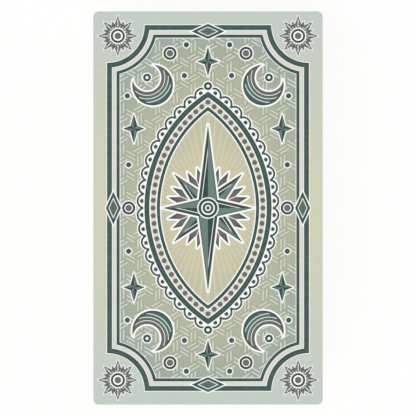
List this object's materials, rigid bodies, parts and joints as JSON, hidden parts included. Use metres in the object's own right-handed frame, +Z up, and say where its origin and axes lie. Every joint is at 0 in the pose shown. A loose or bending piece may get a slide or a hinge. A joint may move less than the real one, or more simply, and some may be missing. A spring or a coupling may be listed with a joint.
{
  "type": "tarot card deck",
  "caption": "Tarot card deck squared face down, with rounded corners and patterned backs. The pack lifts off its stock to be cut, its cards fan out, and the top card turns over.",
  "frame": {"origin": "on the table, under the centre of the squared deck", "axes": "+Z up from the table to the top card's back, +Y along the long side, +X along the short side"},
  "size_m": [0.07, 0.12, 0.0273],
  "materials": {
    "single_card": "satin varnish",
    "stock_cards": "satin varnish"
  },
  "bodies": {
    "stock": {"stock": "stock_cards"},
    "cups_six": {"cups_six": "single_card"},
    "cups_seven": {"cups_seven": "single_card"},
    "cups_eight": {"cups_eight": "single_card"},
    "cups_nine": {"cups_nine": "single_card"},
    "cups_ten": {"cups_ten": "single_card"},
    "cups_page": {"cups_page": "single_card"},
    "cups_knight": {"cups_knight": "single_card"},
    "cups_queen": {"cups_queen": "single_card"},
    "cups_king": {"cups_king": "single_card"},
    "swords_ace": {"swords_ace": "single_card"},
    "swords_two": {"swords_two": "single_card"},
    "swords_three": {"swords_three": "single_card"},
    "swords_four": {"swords_four": "single_card"},
    "swords_five": {"swords_five": "single_card"},
    "swords_six": {"swords_six": "single_card"},
    "swords_seven": {"swords_seven": "single_card"},
    "swords_eight": {"swords_eight": "single_card"},
    "swords_nine": {"swords_nine": "single_card"},
    "swords_ten": {"swords_ten": "single_card"},
    "swords_page": {"swords_page": "single_card"},
    "swords_knight": {"swords_knight": "single_card"},
    "swords_queen": {"swords_queen": "single_card"},
    "swords_king": {"swords_king": "single_card"},
    "pentacles_ace": {"pentacles_ace": "single_card"},
    "pentacles_two": {"pentacles_two": "single_card"},
    "pentacles_three": {"pentacles_three": "single_card"},
    "pentacles_four": {"pentacles_four": "single_card"},
    "pentacles_five": {"pentacles_five": "single_card"},
    "pentacles_six": {"pentacles_six": "single_card"},
    "pentacles_seven": {"pentacles_seven": "single_card"},
    "pentacles_eight": {"pentacles_eight": "single_card"},
    "pentacles_nine": {"pentacles_nine": "single_card"},
    "pentacles_ten": {"pentacles_ten": "single_card"},
    "pentacles_page": {"pentacles_page": "single_card"},
    "pentacles_knight": {"pentacles_knight": "single_card"},
    "pentacles_queen": {"pentacles_queen": "single_card"},
    "pentacles_king": {"pentacles_king": "single_card"},
    "major_00": {"major_00": "single_card"},
    "major_01": {"major_01": "single_card"},
    "major_02": {"major_02": "single_card"},
    "major_03": {"major_03": "single_card"},
    "major_04": {"major_04": "single_card"},
    "major_05": {"major_05": "single_card"},
    "major_06": {"major_06": "single_card"},
    "major_07": {"major_07": "single_card"},
    "major_08": {"major_08": "single_card"},
    "major_09": {"major_09": "single_card"},
    "major_10": {"major_10": "single_card"},
    "major_11": {"major_11": "single_card"},
    "major_12": {"major_12": "single_card"},
    "major_13": {"major_13": "single_card"},
    "major_14": {"major_14": "single_card"},
    "major_15": {"major_15": "single_card"},
    "major_16": {"major_16": "single_card"},
    "major_17": {"major_17": "single_card"},
    "major_18": {"major_18": "single_card"},
    "major_19": {"major_19": "single_card"},
    "major_20": {"major_20": "single_card"},
    "major_21": {"major_21": "single_card"}
  },
  "joints": [
    {"name": "cut", "type": "slide", "parent": "stock", "child": "cups_six", "axis": [0, 0, 1], "range_m": [0, 0.05]},
    {"name": "fan_cups_seven", "type": "hinge", "parent": "cups_six", "child": "cups_seven", "pos_m": [0, -0.045, 0], "axis": [0, 0, -1], "range_deg": [0, 2.5]},
    {"name": "fan_cups_eight", "type": "hinge", "parent": "cups_six", "child": "cups_eight", "pos_m": [0, -0.045, 0], "axis": [0, 0, -1], "range_deg": [0, 5]},
    {"name": "fan_cups_nine", "type": "hinge", "parent": "cups_six", "child": "cups_nine", "pos_m": [0, -0.045, 0], "axis": [0, 0, -1], "range_deg": [0, 7.5]},
    {"name": "fan_cups_ten", "type": "hinge", "parent": "cups_six", "child": "cups_ten", "pos_m": [0, -0.045, 0], "axis": [0, 0, -1], "range_deg": [0, 10]},
    {"name": "fan_cups_page", "type": "hinge", "parent": "cups_six", "child": "cups_page", "pos_m": [0, -0.045, 0], "axis": [0, 0, -1], "range_deg": [0, 12.5]},
    {"name": "fan_cups_knight", "type": "hinge", "parent": "cups_six", "child": "cups_knight", "pos_m": [0, -0.045, 0], "axis": [0, 0, -1], "range_deg": [0, 15]},
    {"name": "fan_cups_queen", "type": "hinge", "parent": "cups_six", "child": "cups_queen", "pos_m": [0, -0.045, 0], "axis": [0, 0, -1], "range_deg": [0, 17.5]},
    {"name": "fan_cups_king", "type": "hinge", "parent": "cups_six", "child": "cups_king", "pos_m": [0, -0.045, 0], "axis": [0, 0, -1], "range_deg": [0, 20]},
    {"name": "fan_swords_ace", "type": "hinge", "parent": "cups_six", "child": "swords_ace", "pos_m": [0, -0.045, 0], "axis": [0, 0, -1], "range_deg": [0, 22.5]},
    {"name": "fan_swords_two", "type": "hinge", "parent": "cups_six", "child": "swords_two", "pos_m": [0, -0.045, 0], "axis": [0, 0, -1], "range_deg": [0, 25]},
    {"name": "fan_swords_three", "type": "hinge", "parent": "cups_six", "child": "swords_three", "pos_m": [0, -0.045, 0], "axis": [0, 0, -1], "range_deg": [0, 27.5]},
    {"name": "fan_swords_four", "type": "hinge", "parent": "cups_six", "child": "swords_four", "pos_m": [0, -0.045, 0], "axis": [0, 0, -1], "range_deg": [0, 30]},
    {"name": "fan_swords_five", "type": "hinge", "parent": "cups_six", "child": "swords_five", "pos_m": [0, -0.045, 0], "axis": [0, 0, -1], "range_deg": [0, 32.5]},
    {"name": "fan_swords_six", "type": "hinge", "parent": "cups_six", "child": "swords_six", "pos_m": [0, -0.045, 0], "axis": [0, 0, -1], "range_deg": [0, 35]},
    {"name": "fan_swords_seven", "type": "hinge", "parent": "cups_six", "child": "swords_seven", "pos_m": [0, -0.045, 0], "axis": [0, 0, -1], "range_deg": [0, 37.5]},
    {"name": "fan_swords_eight", "type": "hinge", "parent": "cups_six", "child": "swords_eight", "pos_m": [0, -0.045, 0], "axis": [0, 0, -1], "range_deg": [0, 40]},
    {"name": "fan_swords_nine", "type": "hinge", "parent": "cups_six", "child": "swords_nine", "pos_m": [0, -0.045, 0], "axis": [0, 0, -1], "range_deg": [0, 42.5]},
    {"name": "fan_swords_ten", "type": "hinge", "parent": "cups_six", "child": "swords_ten", "pos_m": [0, -0.045, 0], "axis": [0, 0, -1], "range_deg": [0, 45]},
    {"name": "fan_swords_page", "type": "hinge", "parent": "cups_six", "child": "swords_page", "pos_m": [0, -0.045, 0], "axis": [0, 0, -1], "range_deg": [0, 47.5]},
    {"name": "fan_swords_knight", "type": "hinge", "parent": "cups_six", "child": "swords_knight", "pos_m": [0, -0.045, 0], "axis": [0, 0, -1], "range_deg": [0, 50]},
    {"name": "fan_swords_queen", "type": "hinge", "parent": "cups_six", "child": "swords_queen", "pos_m": [0, -0.045, 0], "axis": [0, 0, -1], "range_deg": [0, 52.5]},
    {"name": "fan_swords_king", "type": "hinge", "parent": "cups_six", "child": "swords_king", "pos_m": [0, -0.045, 0], "axis": [0, 0, -1], "range_deg": [0, 55]},
    {"name": "fan_pentacles_ace", "type": "hinge", "parent": "cups_six", "child": "pentacles_ace", "pos_m": [0, -0.045, 0], "axis": [0, 0, -1], "range_deg": [0, 57.5]},
    {"name": "fan_pentacles_two", "type": "hinge", "parent": "cups_six", "child": "pentacles_two", "pos_m": [0, -0.045, 0], "axis": [0, 0, -1], "range_deg": [0, 60]},
    {"name": "fan_pentacles_three", "type": "hinge", "parent": "cups_six", "child": "pentacles_three", "pos_m": [0, -0.045, 0], "axis": [0, 0, -1], "range_deg": [0, 62.5]},
    {"name": "fan_pentacles_four", "type": "hinge", "parent": "cups_six", "child": "pentacles_four", "pos_m": [0, -0.045, 0], "axis": [0, 0, -1], "range_deg": [0, 65]},
    {"name": "fan_pentacles_five", "type": "hinge", "parent": "cups_six", "child": "pentacles_five", "pos_m": [0, -0.045, 0], "axis": [0, 0, -1], "range_deg": [0, 67.5]},
    {"name": "fan_pentacles_six", "type": "hinge", "parent": "cups_six", "child": "pentacles_six", "pos_m": [0, -0.045, 0], "axis": [0, 0, -1], "range_deg": [0, 70]},
    {"name": "fan_pentacles_seven", "type": "hinge", "parent": "cups_six", "child": "pentacles_seven", "pos_m": [0, -0.045, 0], "axis": [0, 0, -1], "range_deg": [0, 72.5]},
    {"name": "fan_pentacles_eight", "type": "hinge", "parent": "cups_six", "child": "pentacles_eight", "pos_m": [0, -0.045, 0], "axis": [0, 0, -1], "range_deg": [0, 75]},
    {"name": "fan_pentacles_nine", "type": "hinge", "parent": "cups_six", "child": "pentacles_nine", "pos_m": [0, -0.045, 0], "axis": [0, 0, -1], "range_deg": [0, 77.5]},
    {"name": "fan_pentacles_ten", "type": "hinge", "parent": "cups_six", "child": "pentacles_ten", "pos_m": [0, -0.045, 0], "axis": [0, 0, -1], "range_deg": [0, 80]},
    {"name": "fan_pentacles_page", "type": "hinge", "parent": "cups_six", "child": "pentacles_page", "pos_m": [0, -0.045, 0], "axis": [0, 0, -1], "range_deg": [0, 82.5]},
    {"name": "fan_pentacles_knight", "type": "hinge", "parent": "cups_six", "child": "pentacles_knight", "pos_m": [0, -0.045, 0], "axis": [0, 0, -1], "range_deg": [0, 85]},
    {"name": "fan_pentacles_queen", "type": "hinge", "parent": "cups_six", "child": "pentacles_queen", "pos_m": [0, -0.045, 0], "axis": [0, 0, -1], "range_deg": [0, 87.5]},
    {"name": "fan_pentacles_king", "type": "hinge", "parent": "cups_six", "child": "pentacles_king", "pos_m": [0, -0.045, 0], "axis": [0, 0, -1], "range_deg": [0, 90]},
    {"name": "fan_major_00", "type": "hinge", "parent": "cups_six", "child": "major_00", "pos_m": [0, -0.045, 0], "axis": [0, 0, -1], "range_deg": [0, 92.5]},
    {"name": "fan_major_01", "type": "hinge", "parent": "cups_six", "child": "major_01", "pos_m": [0, -0.045, 0], "axis": [0, 0, -1], "range_deg": [0, 95]},
    {"name": "fan_major_02", "type": "hinge", "parent": "cups_six", "child": "major_02", "pos_m": [0, -0.045, 0], "axis": [0, 0, -1], "range_deg": [0, 97.5]},
    {"name": "fan_major_03", "type": "hinge", "parent": "cups_six", "child": "major_03", "pos_m": [0, -0.045, 0], "axis": [0, 0, -1], "range_deg": [0, 100]},
    {"name": "fan_major_04", "type": "hinge", "parent": "cups_six", "child": "major_04", "pos_m": [0, -0.045, 0], "axis": [0, 0, -1], "range_deg": [0, 102.5]},
    {"name": "fan_major_05", "type": "hinge", "parent": "cups_six", "child": "major_05", "pos_m": [0, -0.045, 0], "axis": [0, 0, -1], "range_deg": [0, 105]},
    {"name": "fan_major_06", "type": "hinge", "parent": "cups_six", "child": "major_06", "pos_m": [0, -0.045, 0], "axis": [0, 0, -1], "range_deg": [0, 107.5]},
    {"name": "fan_major_07", "type": "hinge", "parent": "cups_six", "child": "major_07", "pos_m": [0, -0.045, 0], "axis": [0, 0, -1], "range_deg": [0, 110]},
    {"name": "fan_major_08", "type": "hinge", "parent": "cups_six", "child": "major_08", "pos_m": [0, -0.045, 0], "axis": [0, 0, -1], "range_deg": [0, 112.5]},
    {"name": "fan_major_09", "type": "hinge", "parent": "cups_six", "child": "major_09", "pos_m": [0, -0.045, 0], "axis": [0, 0, -1], "range_deg": [0, 115]},
    {"name": "fan_major_10", "type": "hinge", "parent": "cups_six", "child": "major_10", "pos_m": [0, -0.045, 0], "axis": [0, 0, -1], "range_deg": [0, 117.5]},
    {"name": "fan_major_11", "type": "hinge", "parent": "cups_six", "child": "major_11", "pos_m": [0, -0.045, 0], "axis": [0, 0, -1], "range_deg": [0, 120]},
    {"name": "fan_major_12", "type": "hinge", "parent": "cups_six", "child": "major_12", "pos_m": [0, -0.045, 0], "axis": [0, 0, -1], "range_deg": [0, 122.5]},
    {"name": "fan_major_13", "type": "hinge", "parent": "cups_six", "child": "major_13", "pos_m": [0, -0.045, 0], "axis": [0, 0, -1], "range_deg": [0, 125]},
    {"name": "fan_major_14", "type": "hinge", "parent": "cups_six", "child": "major_14", "pos_m": [0, -0.045, 0], "axis": [0, 0, -1], "range_deg": [0, 127.5]},
    {"name": "fan_major_15", "type": "hinge", "parent": "cups_six", "child": "major_15", "pos_m": [0, -0.045, 0], "axis": [0, 0, -1], "range_deg": [0, 130]},
    {"name": "fan_major_16", "type": "hinge", "parent": "cups_six", "child": "major_16", "pos_m": [0, -0.045, 0], "axis": [0, 0, -1], "range_deg": [0, 132.5]},
    {"name": "fan_major_17", "type": "hinge", "parent": "cups_six", "child": "major_17", "pos_m": [0, -0.045, 0], "axis": [0, 0, -1], "range_deg": [0, 135]},
    {"name": "fan_major_18", "type": "hinge", "parent": "cups_six", "child": "major_18", "pos_m": [0, -0.045, 0], "axis": [0, 0, -1], "range_deg": [0, 137.5]},
    {"name": "fan_major_19", "type": "hinge", "parent": "cups_six", "child": "major_19", "pos_m": [0, -0.045, 0], "axis": [0, 0, -1], "range_deg": [0, 140]},
    {"name": "fan", "type": "hinge", "parent": "cups_six", "child": "major_20", "pos_m": [0, -0.045, 0], "axis": [0, 0, -1], "range_deg": [0, 142.5]},
    {"name": "turn_top_card", "type": "hinge", "parent": "major_20", "child": "major_21", "pos_m": [0.038, 0, 0.01364], "axis": [0, 1, 0], "range_deg": [0, 180]}
  ],
  "couplings": [
    {"joint": "fan_cups_seven", "follows": "fan", "ratio": 0.017544},
    {"joint": "fan_cups_eight", "follows": "fan", "ratio": 0.035088},
    {"joint": "fan_cups_nine", "follows": "fan", "ratio": 0.052632},
    {"joint": "fan_cups_ten", "follows": "fan", "ratio": 0.070175},
    {"joint": "fan_cups_page", "follows": "fan", "ratio": 0.087719},
    {"joint": "fan_cups_knight", "follows": "fan", "ratio": 0.10526},
    {"joint": "fan_cups_queen", "follows": "fan", "ratio": 0.12281},
    {"joint": "fan_cups_king", "follows": "fan", "ratio": 0.14035},
    {"joint": "fan_swords_ace", "follows": "fan", "ratio": 0.15789},
    {"joint": "fan_swords_two", "follows": "fan", "ratio": 0.17544},
    {"joint": "fan_swords_three", "follows": "fan", "ratio": 0.19298},
    {"joint": "fan_swords_four", "follows": "fan", "ratio": 0.21053},
    {"joint": "fan_swords_five", "follows": "fan", "ratio": 0.22807},
    {"joint": "fan_swords_six", "follows": "fan", "ratio": 0.24561},
    {"joint": "fan_swords_seven", "follows": "fan", "ratio": 0.26316},
    {"joint": "fan_swords_eight", "follows": "fan", "ratio": 0.2807},
    {"joint": "fan_swords_nine", "follows": "fan", "ratio": 0.29825},
    {"joint": "fan_swords_ten", "follows": "fan", "ratio": 0.31579},
    {"joint": "fan_swords_page", "follows": "fan", "ratio": 0.33333},
    {"joint": "fan_swords_knight", "follows": "fan", "ratio": 0.35088},
    {"joint": "fan_swords_queen", "follows": "fan", "ratio": 0.36842},
    {"joint": "fan_swords_king", "follows": "fan", "ratio": 0.38596},
    {"joint": "fan_pentacles_ace", "follows": "fan", "ratio": 0.40351},
    {"joint": "fan_pentacles_two", "follows": "fan", "ratio": 0.42105},
    {"joint": "fan_pentacles_three", "follows": "fan", "ratio": 0.4386},
    {"joint": "fan_pentacles_four", "follows": "fan", "ratio": 0.45614},
    {"joint": "fan_pentacles_five", "follows": "fan", "ratio": 0.47368},
    {"joint": "fan_pentacles_six", "follows": "fan", "ratio": 0.49123},
    {"joint": "fan_pentacles_seven", "follows": "fan", "ratio": 0.50877},
    {"joint": "fan_pentacles_eight", "follows": "fan", "ratio": 0.52632},
    {"joint": "fan_pentacles_nine", "follows": "fan", "ratio": 0.54386},
    {"joint": "fan_pentacles_ten", "follows": "fan", "ratio": 0.5614},
    {"joint": "fan_pentacles_page", "follows": "fan", "ratio": 0.57895},
    {"joint": "fan_pentacles_knight", "follows": "fan", "ratio": 0.59649},
    {"joint": "fan_pentacles_queen", "follows": "fan", "ratio": 0.61404},
    {"joint": "fan_pentacles_king", "follows": "fan", "ratio": 0.63158},
    {"joint": "fan_major_00", "follows": "fan", "ratio": 0.64912},
    {"joint": "fan_major_01", "follows": "fan", "ratio": 0.66667},
    {"joint": "fan_major_02", "follows": "fan", "ratio": 0.68421},
    {"joint": "fan_major_03", "follows": "fan", "ratio": 0.70175},
    {"joint": "fan_major_04", "follows": "fan", "ratio": 0.7193},
    {"joint": "fan_major_05", "follows": "fan", "ratio": 0.73684},
    {"joint": "fan_major_06", "follows": "fan", "ratio": 0.75439},
    {"joint": "fan_major_07", "follows": "fan", "ratio": 0.77193},
    {"joint": "fan_major_08", "follows": "fan", "ratio": 0.78947},
    {"joint": "fan_major_09", "follows": "fan", "ratio": 0.80702},
    {"joint": "fan_major_10", "follows": "fan", "ratio": 0.82456},
    {"joint": "fan_major_11", "follows": "fan", "ratio": 0.84211},
    {"joint": "fan_major_12", "follows": "fan", "ratio": 0.85965},
    {"joint": "fan_major_13", "follows": "fan", "ratio": 0.87719},
    {"joint": "fan_major_14", "follows": "fan", "ratio": 0.89474},
    {"joint": "fan_major_15", "follows": "fan", "ratio": 0.91228},
    {"joint": "fan_major_16", "follows": "fan", "ratio": 0.92982},
    {"joint": "fan_major_17", "follows": "fan", "ratio": 0.94737},
    {"joint": "fan_major_18", "follows": "fan", "ratio": 0.96491},
    {"joint": "fan_major_19", "follows": "fan", "ratio": 0.98246}
  ]
}
